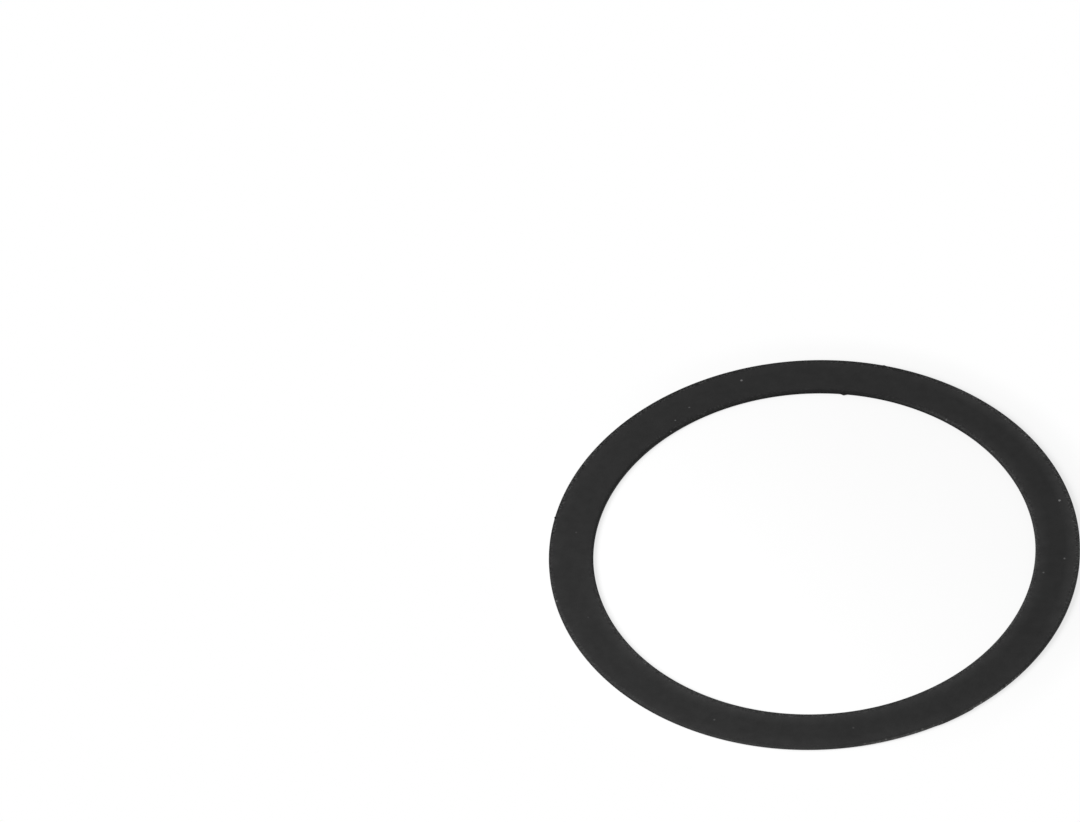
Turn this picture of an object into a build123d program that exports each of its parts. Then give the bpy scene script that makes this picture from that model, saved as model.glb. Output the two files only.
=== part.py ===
# Magnetic mount plate for the back of a phone: a thin flat steel ring, coated matte black all
# over, with a die-cut ring of double-sided tape on its underside. Millimetres. The origin is the
# ring's centre on the sticky underside, and +Z points out of the face that a magnet grips.

import os

from build123d import *

os.makedirs("parts", exist_ok=True)

# Steel ring
outer_diameter = 56.0
band_width = 4.7
steel_thickness = 0.40  # with its coat

# Cut edges of the steel. One stroke of a compound die cuts the rim and the hole together, so the
# corners are drawn over on the face side, and both burrs are on the tape side, rubbed down flat.
roll_width = 0.25
roll_depth = 0.05
burr_flat = 0.04

# Tape ring, cut a little short of the steel so that it never squeezes out into view
tape_thickness = 0.15
tape_inset = 0.30

# Radii and heights that follow from the sizes above
outer_radius = outer_diameter / 2
inner_radius = outer_radius - band_width
steel_underside = tape_thickness
steel_face = steel_underside + steel_thickness
roll_start = steel_face - roll_depth
burr_top = steel_underside + burr_flat

# Steel ring: straight walls, corners rolled over above and rubbed flat below
with BuildPart() as steel_ring:
    with BuildSketch(Plane.XZ):
        with BuildLine():
            Polyline(
                (inner_radius, roll_start),
                (inner_radius, burr_top),
                (inner_radius + burr_flat, steel_underside),
                (outer_radius - burr_flat, steel_underside),
                (outer_radius, burr_top),
                (outer_radius, roll_start),
            )
            face = Line(
                (inner_radius + roll_width, steel_face),
                (outer_radius - roll_width, steel_face),
            )
            TangentArc(face @ 0, (inner_radius, roll_start), tangent=(-1, 0))
            TangentArc(face @ 1, (outer_radius, roll_start), tangent=(1, 0))
        make_face()
    revolve(axis=Axis.Z)

# Tape ring: a plain die-cut section, face to face with the steel
with BuildPart() as adhesive_ring:
    with BuildSketch(Plane.XZ):
        with Locations((inner_radius + tape_inset, 0)):
            tape_width = band_width - 2 * tape_inset
            Rectangle(tape_width, tape_thickness, align=(Align.MIN, Align.MIN))
    revolve(axis=Axis.Z)

steel_ring.part.label = "steel_ring"
adhesive_ring.part.label = "adhesive_ring"
export_step(steel_ring.part, "parts/steel_ring.step")
export_step(adhesive_ring.part, "parts/adhesive_ring.step")
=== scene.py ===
import math

import bmesh
import bpy
from mathutils import Matrix, Vector, noise


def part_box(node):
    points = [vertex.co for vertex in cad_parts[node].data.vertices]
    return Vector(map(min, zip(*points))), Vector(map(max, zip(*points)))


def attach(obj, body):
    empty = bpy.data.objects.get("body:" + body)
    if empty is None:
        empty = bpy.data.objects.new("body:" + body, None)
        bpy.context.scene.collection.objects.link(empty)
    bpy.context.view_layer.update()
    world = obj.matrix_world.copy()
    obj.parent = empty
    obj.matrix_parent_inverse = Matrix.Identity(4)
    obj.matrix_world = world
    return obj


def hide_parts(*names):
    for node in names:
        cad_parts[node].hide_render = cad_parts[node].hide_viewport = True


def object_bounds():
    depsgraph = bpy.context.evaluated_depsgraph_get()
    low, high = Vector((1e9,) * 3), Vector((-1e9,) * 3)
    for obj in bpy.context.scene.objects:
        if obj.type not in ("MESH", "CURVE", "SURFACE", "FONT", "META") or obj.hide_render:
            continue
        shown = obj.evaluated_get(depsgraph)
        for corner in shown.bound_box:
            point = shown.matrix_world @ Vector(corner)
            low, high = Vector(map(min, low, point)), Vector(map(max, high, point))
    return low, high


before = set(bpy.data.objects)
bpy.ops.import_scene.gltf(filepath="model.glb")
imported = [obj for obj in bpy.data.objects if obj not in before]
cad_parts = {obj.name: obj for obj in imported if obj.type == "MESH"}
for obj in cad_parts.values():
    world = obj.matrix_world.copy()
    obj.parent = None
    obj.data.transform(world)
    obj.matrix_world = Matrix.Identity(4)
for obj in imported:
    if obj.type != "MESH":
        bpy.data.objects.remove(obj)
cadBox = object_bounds()
mm = 0.001
print("frame loaded")


class Wire:
    # one socket of a material: arithmetic on it adds Math nodes

    def __init__(self, finish, socket):
        self.finish = finish
        self.socket = socket

    def math(self, operation, *values):
        return self.finish.node("Math", {"operation": operation}, dict(enumerate((self,) + values)))

    def __add__(self, other):
        return self.math("ADD", other)

    def __sub__(self, other):
        return self.math("SUBTRACT", other)

    def __mul__(self, other):
        return self.math("MULTIPLY", other)

    def __truediv__(self, other):
        return self.math("DIVIDE", other)

    def __pow__(self, other):
        return self.math("POWER", other)

    def __rsub__(self, other):
        return self.finish.node("Math", {"operation": "SUBTRACT"}, {0: other, 1: self})

    __radd__ = __add__
    __rmul__ = __mul__


class Finish:
    # a material, and the one method that adds every kind of node to it

    def __init__(self, name, owner=None):
        self.owner = owner or bpy.data.materials.new(name)
        self.owner.use_nodes = True
        self.tree = self.owner.node_tree
        self.tree.nodes.clear()

    def node(self, kind, settings=None, values=None, output=0):
        made = self.tree.nodes.new("ShaderNode" + kind)
        for key, value in (settings or {}).items():
            setattr(made, key, value)
        for key, value in (values or {}).items():
            socket = self.pick(made.inputs, key)
            if isinstance(value, Wire):
                self.tree.links.new(value.socket, socket)
            else:
                socket.default_value = value
        if made.outputs:
            return Wire(self, self.pick(made.outputs, output))

    def pick(self, sockets, key):
        if isinstance(key, int):
            return sockets[key]
        return next(s for s in sockets if key in (s.identifier, s.name))

    def millimetres(self):
        # the place on the piece, in the frame's own directions
        local = self.node("TexCoord", None, None, "Object")
        return self.node("VectorMath", {"operation": "SCALE"}, {"Vector": local, "Scale": 1 / mm},
                         "Vector")

    def length(self, vector):
        return self.node("VectorMath", {"operation": "LENGTH"}, {0: vector}, "Value")

    def distance(self, first, second):
        return self.node("VectorMath", {"operation": "DISTANCE"}, {0: first, 1: second}, "Value")

    def noise(self, point, size, detail):
        # cloudy values from 0 to 1, with lumps of that size in the point's own unit
        return self.node("TexNoise", None, {"Vector": point, "Scale": 1 / size, "Detail": detail},
                         "Fac")

    def rise(self, value, low, high, start=0.0, end=1.0):
        # runs smoothly from start to end as the value goes from low to high
        return self.node("MapRange", {"interpolation_type": "SMOOTHSTEP"}, {
            "Value": value, "From Min": low, "From Max": high, "To Min": start, "To Max": end})

    def blend(self, factor, first, second):
        return self.node("Mix", {"data_type": "RGBA"}, {
            "Factor_Float": factor, "A_Color": first, "B_Color": second}, "Result_Color")

    def bump(self, height, depth, under=None):
        # height from 0 to 1 stands for that depth in metres
        values = {"Height": height, "Distance": depth, "Strength": 1.0}
        if under:
            values["Normal"] = under
        return self.node("Bump", None, values)

    def satin(self, colour, roughness, specular, normal):
        return self.node("BsdfPrincipled", None, {
            "Base Color": colour, "Roughness": roughness, "Specular IOR Level": specular,
            "Normal": normal}, "BSDF")

    def cover(self, piece, surface):
        # the surface becomes the material's own, and the material the piece's
        self.node("OutputMaterial", None, {"Surface": surface})
        piece.data.materials.append(self.owner)


def grey(level, warmth=0.0):
    return (level * (1 + warmth), level, level * (1 - warmth), 1.0)


# Camera: fitted to both outlines of the ring in the photograph, in millimetres and degrees
camera = {
    "lens": 1000 / 3,
    "sensor": 36.0,
    "elevation": 45.971,
    "roll": -3.942,
    "distance": 1054.1,
    "ringRight": 28.893,  # how far right of the picture's middle the ring's centre lies
    "ringUp": -14.667,
    "clip": (50, 20000),
}


def placeCamera():
    up = math.radians(camera["elevation"])
    lean = math.radians(camera["roll"])
    back = Vector((0, -math.cos(up), math.sin(up)))
    flatRight = Vector((1, 0, 0))
    flatUp = back.cross(flatRight)
    right = math.cos(lean) * flatRight + math.sin(lean) * flatUp
    upward = math.cos(lean) * flatUp - math.sin(lean) * flatRight
    faceCentre = Vector((0, 0, cadBox[1].z))
    place = faceCentre + mm * (camera["distance"] * back - camera["ringRight"] * right
                               - camera["ringUp"] * upward)
    data = bpy.data.cameras.new("photoCamera")
    data.lens = camera["lens"]
    data.sensor_width = camera["sensor"]
    data.clip_start, data.clip_end = (reach * mm for reach in camera["clip"])
    made = bpy.data.objects.new("photoCamera", data)
    bpy.context.scene.collection.objects.link(made)
    turn = Matrix((right, upward, back)).transposed()
    made.matrix_world = Matrix.Translation(place) @ turn.to_4x4()
    bpy.context.scene.camera = made


placeCamera()
print("camera placed")


# Studio: a white table, a soft lamp at the left and an even white sky, in millimetres
studio = {
    "skyFill": 0.3,  # what the sky gives of the light on the table
    "lampFill": 0.75,  # and what the lamp gives
    "lampPlace": (-135, -80, 130),
    "lampSize": 140,
    "tableReach": 2500,
    "tableSides": 96,
    "tableGap": 0.01,  # below the tape, so that no two faces share a plane
    "paper": 0.9,
    "shadowReach": (29, 33),  # from the ring's axis: here the table's shadows fade to plain white
    "shadowShare": 0.25,
}


def whiteSky():
    world = bpy.data.worlds.new("whiteSky")
    bpy.context.scene.world = world
    look = Finish("whiteSky", world)
    seen = seenDirectly(look)
    fill = studio["skyFill"]
    strength = seen * (1 - fill) + fill
    light = look.node("Background", None, {"Color": grey(1.0), "Strength": strength})
    look.node("OutputWorld", None, {"Surface": light})


def seenDirectly(look):
    # 1 for what the camera sees itself, or in a reflection or through glass
    direct, mirrored, through = (look.node("LightPath", None, None, "Is %s Ray" % kind)
                                 for kind in ("Camera", "Glossy", "Transmission"))
    return direct.math("MAXIMUM", mirrored).math("MAXIMUM", through)


def softLamp():
    place = Vector(studio["lampPlace"]) * mm
    facing = place.normalized()
    data = bpy.data.lights.new("softLamp", "AREA")
    data.shape = "DISK"
    data.size = studio["lampSize"] * mm
    # a disk lamp of this many watts lights a level white surface to the brightness lampFill
    data.energy = studio["lampFill"] * math.pi ** 2 * place.length_squared / facing.z
    made = bpy.data.objects.new("softLamp", data)
    made.location = place
    made.rotation_mode = "QUATERNION"
    made.rotation_quaternion = facing.to_track_quat("Z", "Y")
    bpy.context.scene.collection.objects.link(made)


def whiteTable():
    mesh = bmesh.new()
    bmesh.ops.create_circle(mesh, cap_ends=True, segments=studio["tableSides"],
                            radius=studio["tableReach"] * mm)
    bmesh.ops.translate(mesh, verts=mesh.verts, vec=(0, 0, -studio["tableGap"] * mm))
    table = keep(mesh, "whiteTable")
    look = Finish("whitePaper")
    near = look.rise(look.length(look.millimetres()), *studio["shadowReach"], 1.0, 0.0)
    paper = look.node("BsdfDiffuse", None, {"Color": grey(studio["paper"])})
    bright = look.node("BsdfDiffuse", None, {"Color": grey(1.0)})
    plain = look.node("Emission", None, {"Color": grey(1.0), "Strength": 1.0})
    shown = look.node("MixShader", None, {0: near * studio["shadowShare"], 1: plain, 2: bright})
    surface = look.node("MixShader", None, {0: seenDirectly(look), 1: paper, 2: shown})
    look.cover(table, surface)


def keep(mesh, name, smooth=False):
    # a finished bmesh becomes an object at the origin
    bmesh.ops.recalc_face_normals(mesh, faces=mesh.faces)
    data = bpy.data.meshes.new(name)
    for face in mesh.faces:
        face.smooth = smooth
    mesh.to_mesh(data)
    mesh.free()
    made = bpy.data.objects.new(name, data)
    bpy.context.scene.collection.objects.link(made)
    return made


whiteSky()
softLamp()
whiteTable()
print("studio lit")


class Pen:
    # it draws in the plane of the ring's section: the radius across and the height up, in mm

    def __init__(self, mesh, across, height):
        self.mesh = mesh
        self.tip = mesh.verts.new((across * mm, 0, height * mm))

    def to(self, across, height, runs=1):
        start = self.tip.co.copy()
        end = Vector((across * mm, 0, height * mm))
        for run in range(1, runs + 1):
            made = bmesh.ops.extrude_vert_indiv(self.mesh, verts=[self.tip])
            self.tip = made["verts"][0]
            self.tip.co = start.lerp(end, run / runs)

    def arc(self, across, height, angle, steps):
        made = bmesh.ops.spin(self.mesh, geom=[self.tip], cent=(across * mm, 0, height * mm),
                              axis=(0, 1, 0), dvec=(0, 0, 0), angle=angle, steps=steps,
                              use_duplicate=False)
        self.tip = next(g for g in made["geom_last"] if isinstance(g, bmesh.types.BMVert))


def spinRing(mesh, middle, steps):
    # the half section is mirrored at the band's middle, spun through an eighth of a turn, and
    # that piece is copied round three times, which is far quicker than one spin of a whole turn
    weld = 0.001 * mm
    half = mesh.verts[:] + mesh.edges[:]
    bmesh.ops.mirror(mesh, geom=half, matrix=Matrix.Translation((-middle * mm, 0, 0)),
                     merge_dist=weld, axis="X")
    bmesh.ops.remove_doubles(mesh, verts=mesh.verts, dist=weld)
    doublings = 3
    turn = math.tau / 2 ** doublings
    bmesh.ops.spin(mesh, geom=mesh.verts[:] + mesh.edges[:], cent=(0, 0, 0), axis=(0, 0, 1),
                   dvec=(0, 0, 0), angle=turn, steps=steps // 2 ** doublings,
                   use_duplicate=False)
    for doubling in range(doublings):
        everything = mesh.verts[:] + mesh.edges[:] + mesh.faces[:]
        copy = bmesh.ops.duplicate(mesh, geom=everything)["geom"]
        copied = [g for g in copy if isinstance(g, bmesh.types.BMVert)]
        bmesh.ops.rotate(mesh, verts=copied, cent=(0, 0, 0), matrix=Matrix.Rotation(turn, 3, "Z"))
        turn *= 2
    bmesh.ops.remove_doubles(mesh, verts=mesh.verts, dist=weld)


def apart(first, second):
    # degrees between two directions, the short way round
    return (first - second + 180) % 360 - 180


# Steel ring: die-cut from sheet, so its face corners are drawn over, and its cut walls have a
# smooth share under the roll and a torn share below. Millimetres and degrees.
steelRing = {
    "steps": 1440,
    "holeRadius": 23.3,
    "rollWidth": 0.25,
    "rollDepth": 0.05,
    "rollSteps": 7,
    "flatLoop": 0.06,  # from the roll to the face's last loop, so that the face shades flat
    "cornerSoft": 0.012,
    "burrFlat": 0.04,
    "backLoop": 0.04,
    "smoothWall": 0.16,
    "tornInset": 0.008,
    "tornGrain": 0.006,
    "grainsPerMm": 7,
    "wallBand": 0.05,  # what lies this near to an edge is its wall
    # where the outer wall stands proud: from, to, how far, and over how many degrees it rises
    # and falls
    "proud": (292.2, 302.6, 0.068, 2.5, 0.85),
    "proudReach": 0.5,  # how far into the band it fades out
    # nibs of coat that stick out of the cut walls, and knocks that go into them (their reach is
    # below zero): angle, half width, reach, which wall, at its top or its foot
    "marks": [(70.5, 0.11, 0.10, "outer", "top"), (164.8, 0.08, 0.13, "outer", "top"),
              (78.25, 0.23, 0.16, "inner", "foot"), (304.3, 0.16, -0.06, "outer", "top"),
              (311.2, 0.20, -0.05, "outer", "top"), (313.8, 0.14, -0.05, "outer", "top"),
              (221.0, 0.10, -0.03, "outer", "top"), (247.2, 0.10, -0.03, "outer", "top")],
    # how a mark fades: to a third across the band, to nothing up or down, and where it is cut off
    # across the band and, in half widths, along the edge
    "markFade": 0.12,
    "markHeight": 0.2,
    "markReach": 0.35,
    "markHalves": 3,
    "markSink": 0.5,  # a knock also lowers the corner, by this share of its depth
}


def proudShift(angle, inwards):
    # how far the proud stretch of the outer wall moves a point out, in mm
    start, end, most, rising, falling = steelRing["proud"]
    swell = min(1.0, max(0.0, (angle - start) / rising), max(0.0, (end - angle) / falling))
    return most * swell * swell * (3 - 2 * swell) * max(0.0, 1 - inwards / steelRing["proudReach"])


def markShift(angle, radius, height, edges, levels):
    # how far the nibs and knocks move a point, away from the axis and up, in mm
    outwards = upwards = 0.0
    for place, half, reach, side, level in steelRing["marks"]:
        edge, facing = edges[side]
        along = math.radians(apart(angle, place)) * edge
        across = radius - edge
        offLevel = abs(height - levels[level]) / steelRing["markHeight"]
        beside = abs(along) < steelRing["markHalves"] * half
        if beside and abs(across) < steelRing["markReach"] and offLevel < 1:
            dent = math.exp(-(along / half) ** 2 - (across / steelRing["markFade"]) ** 2)
            dent *= 1 - offLevel
            outwards += facing * reach * dent
            upwards += min(0.0, steelRing["markSink"] * reach * dent)
    return outwards, upwards


def makeSteelRing():
    low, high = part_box("steel_ring")
    outer, inner = high.x / mm, steelRing["holeRadius"]
    bottom, top = low.z / mm, high.z / mm
    middle = (outer + inner) / 2
    width, depth = steelRing["rollWidth"], steelRing["rollDepth"]
    burr = steelRing["burrFlat"]
    arcRadius = (width ** 2 + depth ** 2) / (2 * depth)
    arcTurn = math.asin(width / arcRadius)
    soft = steelRing["cornerSoft"]
    wallTop = top - depth
    tornTop = wallTop - steelRing["smoothWall"]
    tornInset = steelRing["tornInset"]

    mesh = bmesh.new()
    pen = Pen(mesh, middle, top)
    pen.to(outer - width - steelRing["flatLoop"], top, runs=3)
    pen.to(outer - width, top)
    pen.arc(outer - width, top - arcRadius, arcTurn, steelRing["rollSteps"])
    pen.to(outer, wallTop - soft)
    pen.to(outer, tornTop + soft)
    pen.to(outer - tornInset, tornTop - soft)
    pen.to(outer - tornInset, bottom + burr + soft, runs=3)
    pen.to(outer - tornInset / 2, bottom + burr)
    pen.to(outer - burr, bottom)
    pen.to(outer - burr - steelRing["backLoop"], bottom)
    pen.to(middle, bottom, runs=2)
    spinRing(mesh, middle, steelRing["steps"])

    edges = {"outer": (outer, 1), "inner": (inner, -1)}
    levels = {"top": top, "foot": bottom + burr}
    wallFrom = outer - middle - steelRing["wallBand"]
    for vert in mesh.verts:
        flat = Vector((vert.co.x, vert.co.y, 0))
        outward = flat.normalized()
        radius, height = flat.length / mm, vert.co.z / mm
        angle = math.degrees(math.atan2(flat.y, flat.x)) % 360
        shift, lift = markShift(angle, radius, height, edges, levels)
        shift += proudShift(angle, outer - radius)
        vert.co.z += lift * mm
        if bottom + burr < height < tornTop and abs(radius - middle) > wallFrom:
            wallSide = 1 if radius > middle else -1
            grain = noise.noise(vert.co * (steelRing["grainsPerMm"] / mm))
            shift += wallSide * steelRing["tornGrain"] * grain
        vert.co += outward * shift * mm
    return keep(mesh, "mountPlate", smooth=True)


steel = makeSteelRing()
print("steel ring made:", len(steel.data.polygons), "faces")


# Coat: matte black lacquer over the steel, with painted highlight that pales it towards the cut
# edges and painted shade on its rolled corners and walls. Lengths are mm and angles degrees. Right
# and back are the cosine and the sine of the angle round the ring.
coat = {
    "base": 0.0142,
    # how far painted highlight pales the face towards its edges: at most round the hole, round the
    # rim and on the rim's right, and the reach of each
    "holePale": 0.016,
    "rimPale": 0.0053,
    "rimPaleRight": 0.0155,
    "holeReach": 1.7,
    "rimReach": 1.6,
    "holeBend": 1.4,  # the power by which the hole's paleness falls off
    "farRight": 0.6,  # how far that paleness reaches round to the far right
    "holeShine": 0.011,  # the painted highlight line on the rolled corner, on the hole's right
    "rimShine": 0.0075,  # and on the rim's left
    "shadedHoleCorner": 0.5,  # how much painted shade darkens the rolled corners elsewhere
    "shadedRimCorner": 0.62,
    "wornShadeCut": 0.6,  # how much of the hole's painted shade the worn stretch loses
    "leftShadeShare": 0.9,  # and how much of the rim's painted shade the stretch on its left keeps
    "farLine": 0.45,  # the painted shade line on the hole's far right corner
    "wallShadeOnFace": 0.45,  # how much the patchy painted shade of the near right darkens the face's corner
    "wallShadeOnWall": 0.75,  # and the wall below it
    "faceFrom": (0.06, 0.03),  # the depths at which the wall's tone gives way to the face's
    "wallsApart": 0.1,  # this far in from each wall its tone begins to give way to the other's
    # painted shade: the inner wall's tone
    "shadedInnerWall": 0.001,
    "outerWall": 0.020,
    "cloud": 0.42,  # how much each noise changes the tone
    "mottle": 0.65,
    "grain": 0.4,
    "flecks": 0.019,  # how pale the worn flecks of the corners are
    "fleckFloor": 0.2,  # what lies between the flecks darkens by this share of them
    "wallFlecks": 0.7,  # how pale those of the walls are, beside the corners'
    "holeWornWear": 0.5,  # how much more worn the hole's corner is along its worn stretch
    "holeRightWear": 0.5,  # and at the far right
    "speckle": 2.2,
    "roughness": 0.6,
    "roughClouds": 0.08,
    "roughDust": 1.5,
    "specular": 0.14,
    "orangePeel": 0.0010,
    "fineGrain": 0.0004,
    # stretches of the ring, as the middle and the half of each: where the hole's corner is worn and
    # its painted shade weaker, where the rim's corner keeps its painted shade, where the rim gets
    # patchy painted shade, and where its wall is rubbed and painted paler with painted light
    "stretches": {"worn": (113.0, 24.0), "leftShadeKept": (170.0, 15.0), "wallShade": (326.0, 20.0),
                  "scuffLitNear": (285.0, 10.5), "scuffLitRight": (309.0, 12.0)},
    "stretchCore": 0.6,  # the share of a stretch before it fades
    # sides of the ring, as weights of right and back
    "sides": {"nearRight": (0.35, -0.9), "paleRight": (1.0, 0.35), "lineRight": (1.0, 0.2),
              "wornFar": (0.3, 0.95)},
    # noises, as the size of their lumps and their detail
    "noises": {"clouds": (5.0, 2.0), "mottle": (0.9, 3.0), "grain": (0.14, 2.0),
               "speckle": (0.2, 1.0), "wallShade": (0.28, 2.0), "worn": (0.24, 2.0),
               "ragged": (0.09, 1.0), "scuffLit": (0.5, 3.0), "peel": (0.45, 1.0),
               "fine": (0.09, 2.0)},
    # ramps, as from and to, and then the values at either end where they aren't 0 and 1. What ends
    # in In or Edge runs from an edge into the band, and most of the others along right or back
    "ramps": {
        "paleNearRight": (-0.6, 0.35),
        "paleRight": (0.55, 0.98),
        "paleRightHalf": (0.4, 0.7),
        "holeLineFoot": (-0.1, 0.25, 0.45, 0.0),
        "holeLineIn": (0.15, 0.38, 1.0, 0.0),
        "holeLineEdge": (-0.05, 0.15),
        "holeLineRight": (0.5, 0.8),
        "rimLineIn": (0.2, 0.5, 1.0, 0.0),
        "rimLineEdge": (-0.02, 0.16),
        "rimLineLeft": (-0.75, -0.35, 1.0, 0.0),
        "cornerIn": (0.12, 0.36, 1.0, 0.0),
        "holeDarkNear": (-0.9, -0.1, 0.05, 0.9),
        "holeDarkLeft": (0.15, 0.55, 1.0, 0.0),
        "holeDarkBack": (-0.25, 0.1),
        "farLineIn": (0.0, 0.14, 1.0, 0.0),
        "farLineRight": (0.5, 0.8),
        "farLineBack": (0.0, 0.2),
        "rimDarkMiddle": (-0.8, -0.6),
        "rimDarkRight": (0.42, 0.58, 1.0, 0.05),
        "rimDarkBack": (-0.5, 0.7, 0.15, 1.0),
        "wallShadePatches": (0.42, 0.6),
        "wallShadeIn": (0.1, 0.35, 1.0, 0.0),
        "wornFlecks": (0.55, 0.66),
        "wearIn": (0.32, 0.7, 1.0, 0.0),
        "holeWearNear": (-0.35, 0.15, 1.0, 0.35),
        "holeWearRight": (0.3, 0.6),
        "holeWearBack": (-0.2, 0.1),
        "rimWearFar": (-0.5, 0.4, 0.2, 1.6),
        "rimWearSides": (0.05, 0.3, 0.45, 1.0),
        "rimWearLeft": (-1.0, -0.55, 0.8, 0.0),
        "rimWearLeftIn": (0.2, 0.4, 1.0, 0.2),
        "wallLeft": (-0.8, -0.3, 0.1, 1.0),
        "onOuterWall": (0.02, 0.06, 1.0, 0.0),
        "scuffLitFlecks": (0.45, 0.6),
    },
    # flecks worn on the corners, then specks of dust on the face: angle, radius, size, paleness
    "dust": [(189.8, 27.86, 0.15, 0.09), (49.0, 23.38, 0.14, 0.09), (126.8, 23.42, 0.12, 0.09),
             (32.5, 23.46, 0.13, 0.07), (217.9, 23.64, 0.12, 0.05), (313.4, 23.56, 0.12, 0.05),
             (317.9, 23.56, 0.12, 0.05), (28.7, 27.70, 0.12, 0.05), (31.7, 27.66, 0.12, 0.05),
             (19.6, 27.60, 0.12, 0.04), (10.2, 26.76, 0.19, 0.17), (103.3, 26.31, 0.18, 0.14),
             (352.0, 26.4, 0.16, 0.08), (347.0, 24.4, 0.15, 0.07), (118.2, 25.1, 0.13, 0.073),
             (123.5, 24.4, 0.13, 0.083), (168.8, 25.36, 0.13, 0.028), (197.0, 25.37, 0.12, 0.018),
             (242.6, 26.0, 0.15, 0.042), (275.2, 25.65, 0.14, 0.032)],
    # chips in the rim's coat: angle, mm below the face, size, how pale
    "chips": [(276.9, 0.10, 0.13, 0.05), (281.5, 0.10, 0.16, 0.07), (286.5, 0.11, 0.14, 0.04),
              (288.15, 0.12, 0.14, 0.04), (289.7, 0.12, 0.20, 0.07), (292.3, 0.12, 0.14, 0.04),
              (294.35, 0.12, 0.17, 0.05), (302.3, 0.18, 0.20, 0.14), (304.35, 0.18, 0.20, 0.22),
              (306.1, 0.18, 0.14, 0.08), (308.0, 0.20, 0.16, 0.14), (309.3, 0.23, 0.15, 0.09),
              (310.2, 0.20, 0.20, 0.22), (311.6, 0.18, 0.18, 0.18), (313.6, 0.17, 0.18, 0.18),
              (314.5, 0.17, 0.17, 0.16), (315.8, 0.15, 0.14, 0.10)],
    # the spots' outlines, as shares of their size: how ragged, and how wide the pale core is
    "dustShape": (0.6, 0.35),
    "chipShape": (0.8, 0.3),
    # the rubbed stretches of the outer wall, painted grey: bare steel in the rubs, and painted
    # light of the white floor. The tone and warmth of that grey, how much of it shows in the flecks
    # and, of that, between them, and at which depths that weakens to what
    "scuffLitGrey": (0.16, 0.02),
    "scuffLitMost": 0.7,
    "scuffLitLeast": 0.35,
    "scuffLitDepths": (0.36, 0.1),
    "scuffLitTop": 0.35,
}


class RingPlace:
    # where a point of the steel lies: in mm and as directions from the axis

    def __init__(self, look):
        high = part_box("steel_ring")[1]
        self.look = look
        self.outer, self.inner = high.x / mm, steelRing["holeRadius"]
        self.top = high.z / mm
        self.point = look.millimetres()
        x, y, self.z = (look.node("SeparateXYZ", None, {"Vector": self.point}, axis)
                        for axis in ("X", "Y", "Z"))
        self.flat = look.node("CombineXYZ", None, {"X": x, "Y": y}, "Vector")
        self.radius = look.length(self.flat)
        self.angle = y.math("ARCTAN2", x) * (180 / math.pi)
        self.right, self.back = x / self.radius, y / self.radius
        self.fromHole, self.fromRim = self.radius - self.inner, self.outer - self.radius

    def side(self, name):
        acrossShare, backShare = coat["sides"][name]
        return acrossShare * self.right + backShare * self.back

    def ramp(self, name, value, *ends):
        return self.look.rise(value, *coat["ramps"][name], *ends)

    def cloudy(self, name):
        return self.look.noise(self.point, *coat["noises"][name])

    def below(self, depths, *ends):
        # a ramp between two depths below the face
        return self.look.rise(self.z, *(self.top - depth for depth in depths), *ends)

    def stretch(self, name):
        # 1 along a stretch of the ring
        middle, half = coat["stretches"][name]
        off = (self.angle - middle).math("WRAP", -180, 180).math("ABSOLUTE")
        return self.look.rise(off, half * coat["stretchCore"], half, 1.0, 0.0)


def paintedEdgeHighlight(at):
    # painted highlight: paler towards the edges, with a highlight line on a stretch of each corner
    farRight = at.right.math("MAXIMUM", 0.0) * at.back.math("MAXIMUM", 0.0)
    nearRight = at.ramp("paleNearRight", at.side("nearRight") + coat["farRight"] * farRight)
    holeRamp = (1 - at.fromHole / coat["holeReach"]).math("MAXIMUM", 0.0) ** coat["holeBend"]
    rimRamp = (1 - at.fromRim / coat["rimReach"]).math("MAXIMUM", 0.0)
    onRight = at.ramp("paleRight", at.side("paleRight")) * at.ramp("paleRightHalf", at.right)
    pale = coat["holePale"] * nearRight * holeRamp
    pale = pale + (coat["rimPale"] + coat["rimPaleRight"] * onRight) * rimRamp

    atEdge = at.ramp("holeLineFoot", at.back)
    holeLine = at.ramp("holeLineIn", at.fromHole)
    holeLine = holeLine * at.ramp("holeLineEdge", at.fromHole, atEdge, 1.0)
    holeLine = holeLine * at.ramp("holeLineRight", at.side("lineRight"))
    rimLine = at.ramp("rimLineIn", at.fromRim) * at.ramp("rimLineEdge", at.fromRim)
    rimLine = rimLine * at.ramp("rimLineLeft", at.right)
    return pale + coat["holeShine"] * holeLine + coat["rimShine"] * rimLine


def paintedCornerShade(at, wornHole):
    # painted shade: how much darker the rolled corners of the hole and of the rim are painted
    darkHole = coat["shadedHoleCorner"] * at.ramp("cornerIn", at.fromHole)
    darkHole = darkHole * (1 - coat["wornShadeCut"] * wornHole)
    nearDark = at.ramp("holeDarkNear", at.right)
    darkHole = darkHole * at.ramp("holeDarkLeft", at.right)
    darkHole = darkHole * at.ramp("holeDarkBack", at.back, nearDark, 1.0)
    farLine = at.ramp("farLineIn", at.fromHole) * at.ramp("farLineRight", at.right)
    farLine = farLine * at.ramp("farLineBack", at.back)
    darkRim = coat["shadedRimCorner"] * at.ramp("cornerIn", at.fromRim)
    notLeft = at.ramp("rimDarkMiddle", at.right) + coat["leftShadeShare"] * at.stretch("leftShadeKept")
    darkRim = darkRim * at.ramp("rimDarkRight", at.right) * notLeft
    darkRim = darkRim * at.ramp("rimDarkBack", at.back)
    return darkHole + coat["farLine"] * farLine, darkRim


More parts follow.
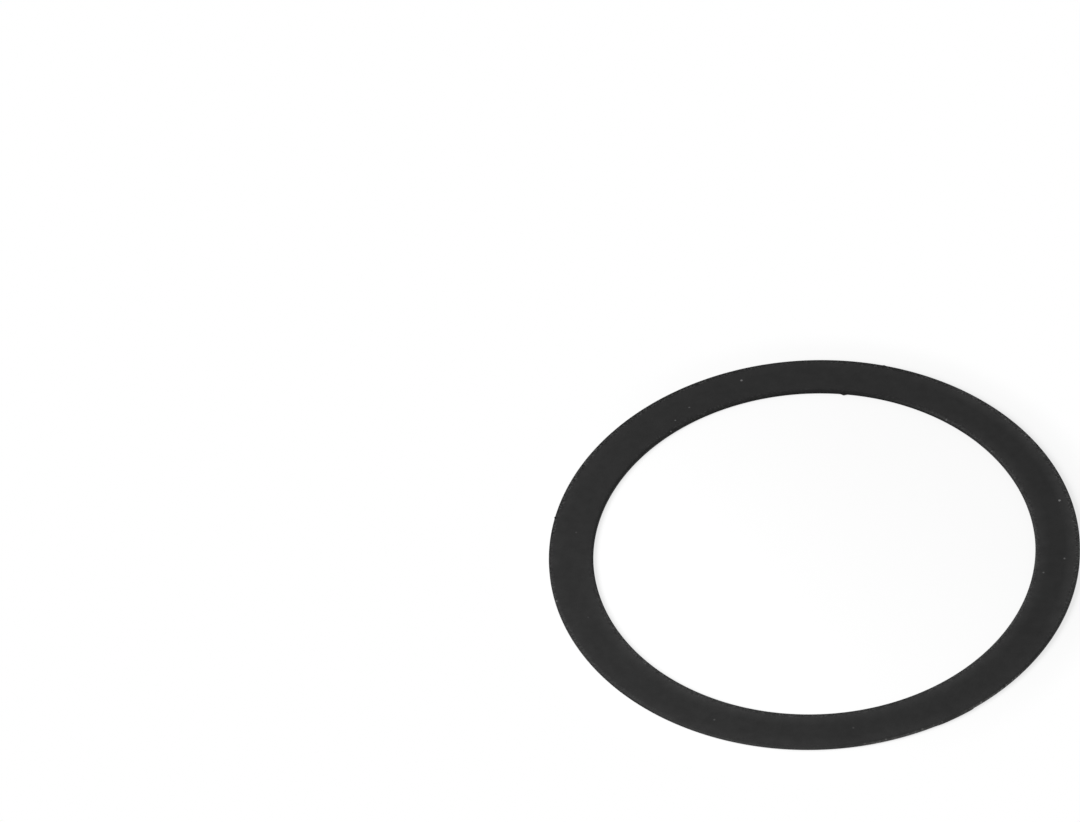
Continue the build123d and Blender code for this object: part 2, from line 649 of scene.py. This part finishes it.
def cornerWear(at, wornHole):
    # how much of the corners is worn to small pale flecks
    rightWear = coat["holeRightWear"] * at.ramp("holeWearRight", at.right)
    holeWear = at.ramp("holeWearNear", at.back) + coat["holeWornWear"] * wornHole
    holeWear = holeWear + rightWear * at.ramp("holeWearBack", at.back)
    rimWear = at.ramp("rimWearFar", at.side("wornFar"))
    rimWear = rimWear * at.ramp("rimWearSides", at.right.math("ABSOLUTE"))
    leftWear = at.ramp("rimWearLeft", at.right) * at.ramp("rimWearLeftIn", at.fromRim)
    rimWear = rimWear + leftWear
    return at.ramp("wearIn", at.fromHole) * holeWear + at.ramp("wearIn", at.fromRim) * rimWear


def paleSpots(at, onFace):
    # flecks, dust and chips, each a little ragged
    ragged = at.cloudy("ragged") - 0.5

    def spot(source, degrees, radius, height, size, level, shape):
        way = math.radians(degrees)
        raggedness, core = shape
        off = at.look.distance(source, (radius * math.cos(way), radius * math.sin(way), height))
        return at.look.rise(off + ragged * (raggedness * size), core * size, size, level, 0.0)

    dust = sum(spot(at.flat, degrees, radius, 0.0, size, level, coat["dustShape"])
               for degrees, radius, size, level in coat["dust"])
    chips = (spot(at.point, degrees, at.outer, at.top - down, size, level, coat["chipShape"])
             for degrees, down, size, level in coat["chips"])
    return sum(chips, dust * onFace)


def scuffedAndLitWall(at):
    # how much the outer wall is painted grey in flecks: rubbed coat showing steel, and painted
    # light
    flecks = at.ramp("scuffLitFlecks", at.cloudy("scuffLit"))
    least = coat["scuffLitLeast"]
    scuffLit = at.stretch("scuffLitNear") + at.stretch("scuffLitRight")
    scuffLit = scuffLit * at.ramp("onOuterWall", at.fromRim) * (least + (1 - least) * flecks)
    return scuffLit * at.below(coat["scuffLitDepths"], 1.0, coat["scuffLitTop"]) * coat["scuffLitMost"]


def coatSteel(piece):
    look = Finish("blackCoat")
    at = RingPlace(look)
    onFace = at.below(coat["faceFrom"])
    wornHole = at.stretch("worn")
    # patchy painted shade on the rim's corner and wall at the near right
    paintedWallShade = at.stretch("wallShade") * at.ramp("wallShadePatches", at.cloudy("wallShade"))
    worn = at.ramp("wornFlecks", at.cloudy("worn"))
    clouds, mottle, grain, speckle = (at.cloudy(name) - 0.5
                                      for name in ("clouds", "mottle", "grain", "speckle"))
    uneven = 1 + coat["cloud"] * clouds + coat["mottle"] * mottle + coat["grain"] * grain

    # painted shade on the rolled corners, weaker where the hole's corner is worn
    darkHole, darkRim = paintedCornerShade(at, wornHole)
    wear = cornerWear(at, wornHole)
    # painted highlight on the base black, then painted shade on the rolled corners
    face = (coat["base"] + paintedEdgeHighlight(at)) * (1 - darkHole) * (1 - darkRim)
    face = face * (1 - coat["wallShadeOnFace"] * paintedWallShade * at.ramp("wallShadeIn", at.fromRim))
    face = face * (1 + coat["speckle"] * wear * speckle)
    face = face + coat["flecks"] * wear * (worn - coat["fleckFloor"])

    # painted shade: the inner wall far darker than the outer, the walls darker towards the left and
    # in the patchy shade of the near right
    walls = (at.radius, at.inner + coat["wallsApart"], at.outer - coat["wallsApart"])
    wallTone = look.rise(*walls, coat["shadedInnerWall"], coat["outerWall"])
    wallTone = wallTone + coat["wallFlecks"] * coat["flecks"] * worn * look.rise(*walls)
    wallTone = wallTone * (1 - coat["wallShadeOnWall"] * paintedWallShade) * at.ramp("wallLeft", at.right)

    spots = paleSpots(at, onFace)
    tone = (face * onFace + wallTone * (1 - onFace)) * uneven + spots
    colour = look.node("CombineColor", None, {"Red": tone, "Green": tone, "Blue": tone}, "Color")
    # the outer wall's rubs and painted light of the white floor, as grey flecks
    colour = look.blend(scuffedAndLitWall(at), colour, grey(*coat["scuffLitGrey"]))
    rough = coat["roughness"] + coat["roughClouds"] * clouds + coat["roughDust"] * spots
    peel = look.bump(at.cloudy("peel"), coat["orangePeel"] * mm)
    fine = look.bump(at.cloudy("fine"), coat["fineGrain"] * mm, peel)
    look.cover(piece, look.satin(colour, rough, coat["specular"], fine))


coatSteel(steel)
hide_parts("steel_ring")
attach(steel, "root")
print("steel ring coated")


# Tape ring: die-cut double-sided tape, black, with a tissue of fibres under its adhesive.
# Lengths are mm, and noises are given as the size of their lumps and their detail.
tapeRing = {
    "steps": 720,
    "inset": 0.30,
    "edgeSoft": 0.02,
    "edgeSteps": 4,
    "topLoop": 0.06,  # from the edge to the last loop of the flat top
    "footLoop": 0.08,
    "edgeWave": 0.015,
    "waveReach": 0.3,
    "waves": 11,
    "base": 0.012,
    "blue": 1.05,
    "fibre": 0.09,
    "fibreTurns": (0.5, 1.6, 2.6),  # the ways they run, in radians
    "fibreStretch": 4.5,
    "fibreClouds": (0.35, 2.0),
    "fibreWidth": 0.035,  # in the value of those clouds
    "fibreRelief": 0.001,
    "patches": (2.5, 2.0),  # where the adhesive hides the fibres more or less
    "lumps": (0.6, 2.0),
    "lumpRelief": 0.004,
    "roughness": 0.36,
    "smears": (1.4, 3.0),
    "roughSmears": 0.15,
    "roughFibres": 0.2,
    "specular": 0.4,
}


def makeTapeRing():
    low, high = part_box("adhesive_ring")
    outer = high.x / mm
    inner = steelRing["holeRadius"] + tapeRing["inset"]
    middle = (outer + inner) / 2
    bottom, top = low.z / mm, high.z / mm
    soft = tapeRing["edgeSoft"]
    mesh = bmesh.new()
    pen = Pen(mesh, middle, top)
    pen.to(outer - tapeRing["topLoop"], top, runs=2)
    pen.to(outer - soft / 2, top)
    pen.to(outer, top - soft / 2)
    pen.to(outer, bottom + soft, runs=2)
    pen.arc(outer - soft, bottom + soft, math.pi / 2, tapeRing["edgeSteps"])
    pen.to(outer - tapeRing["footLoop"], bottom)
    pen.to(middle, bottom, runs=3)
    spinRing(mesh, middle, tapeRing["steps"])
    for vert in mesh.verts:
        flat = Vector((vert.co.x, vert.co.y, 0))
        outward = flat.normalized()
        fromEdge = outer - middle - abs(flat.length / mm - middle)
        near = max(0.0, 1 - fromEdge / tapeRing["waveReach"])
        wave = tapeRing["edgeWave"] * near * noise.noise(outward * tapeRing["waves"])
        vert.co += outward * wave * mm
    return keep(mesh, "stickyTape", smooth=True)


def fibreBands(look, point, turn):
    # narrow bands of a stretched cloud
    stretch = (tapeRing["fibreStretch"], 1.0, 1.0)
    turned = look.node("Mapping", {"vector_type": "TEXTURE"}, {
        "Vector": point, "Rotation": (0, 0, turn), "Scale": stretch}, "Vector")
    cloud = look.noise(turned, *tapeRing["fibreClouds"])
    return look.rise((cloud - 0.5).math("ABSOLUTE"), 0.0, tapeRing["fibreWidth"], 1.0, 0.0)


def finishTape(piece):
    look = Finish("blackTape")
    point = look.millimetres()
    first, second, third = (fibreBands(look, point, turn) for turn in tapeRing["fibreTurns"])
    fibres = first.math("MAXIMUM", second).math("MAXIMUM", third)
    tone = tapeRing["base"] + tapeRing["fibre"] * fibres * look.noise(point, *tapeRing["patches"])
    colour = look.node("CombineColor", None, {
        "Red": tone, "Green": tone, "Blue": tone * tapeRing["blue"]}, "Color")
    lumps = look.bump(look.noise(point, *tapeRing["lumps"]), tapeRing["lumpRelief"] * mm)
    bumps = look.bump(fibres, tapeRing["fibreRelief"] * mm, lumps)
    smears = look.noise(point, *tapeRing["smears"]) - 0.5
    rough = tapeRing["roughness"] + tapeRing["roughSmears"] * smears
    rough = rough + tapeRing["roughFibres"] * fibres
    look.cover(piece, look.satin(colour, rough, tapeRing["specular"], bumps))


tape = makeTapeRing()
finishTape(tape)
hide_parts("adhesive_ring")
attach(tape, "root")
print("tape ring made")

bpy.context.scene.view_settings.view_transform = "Standard"
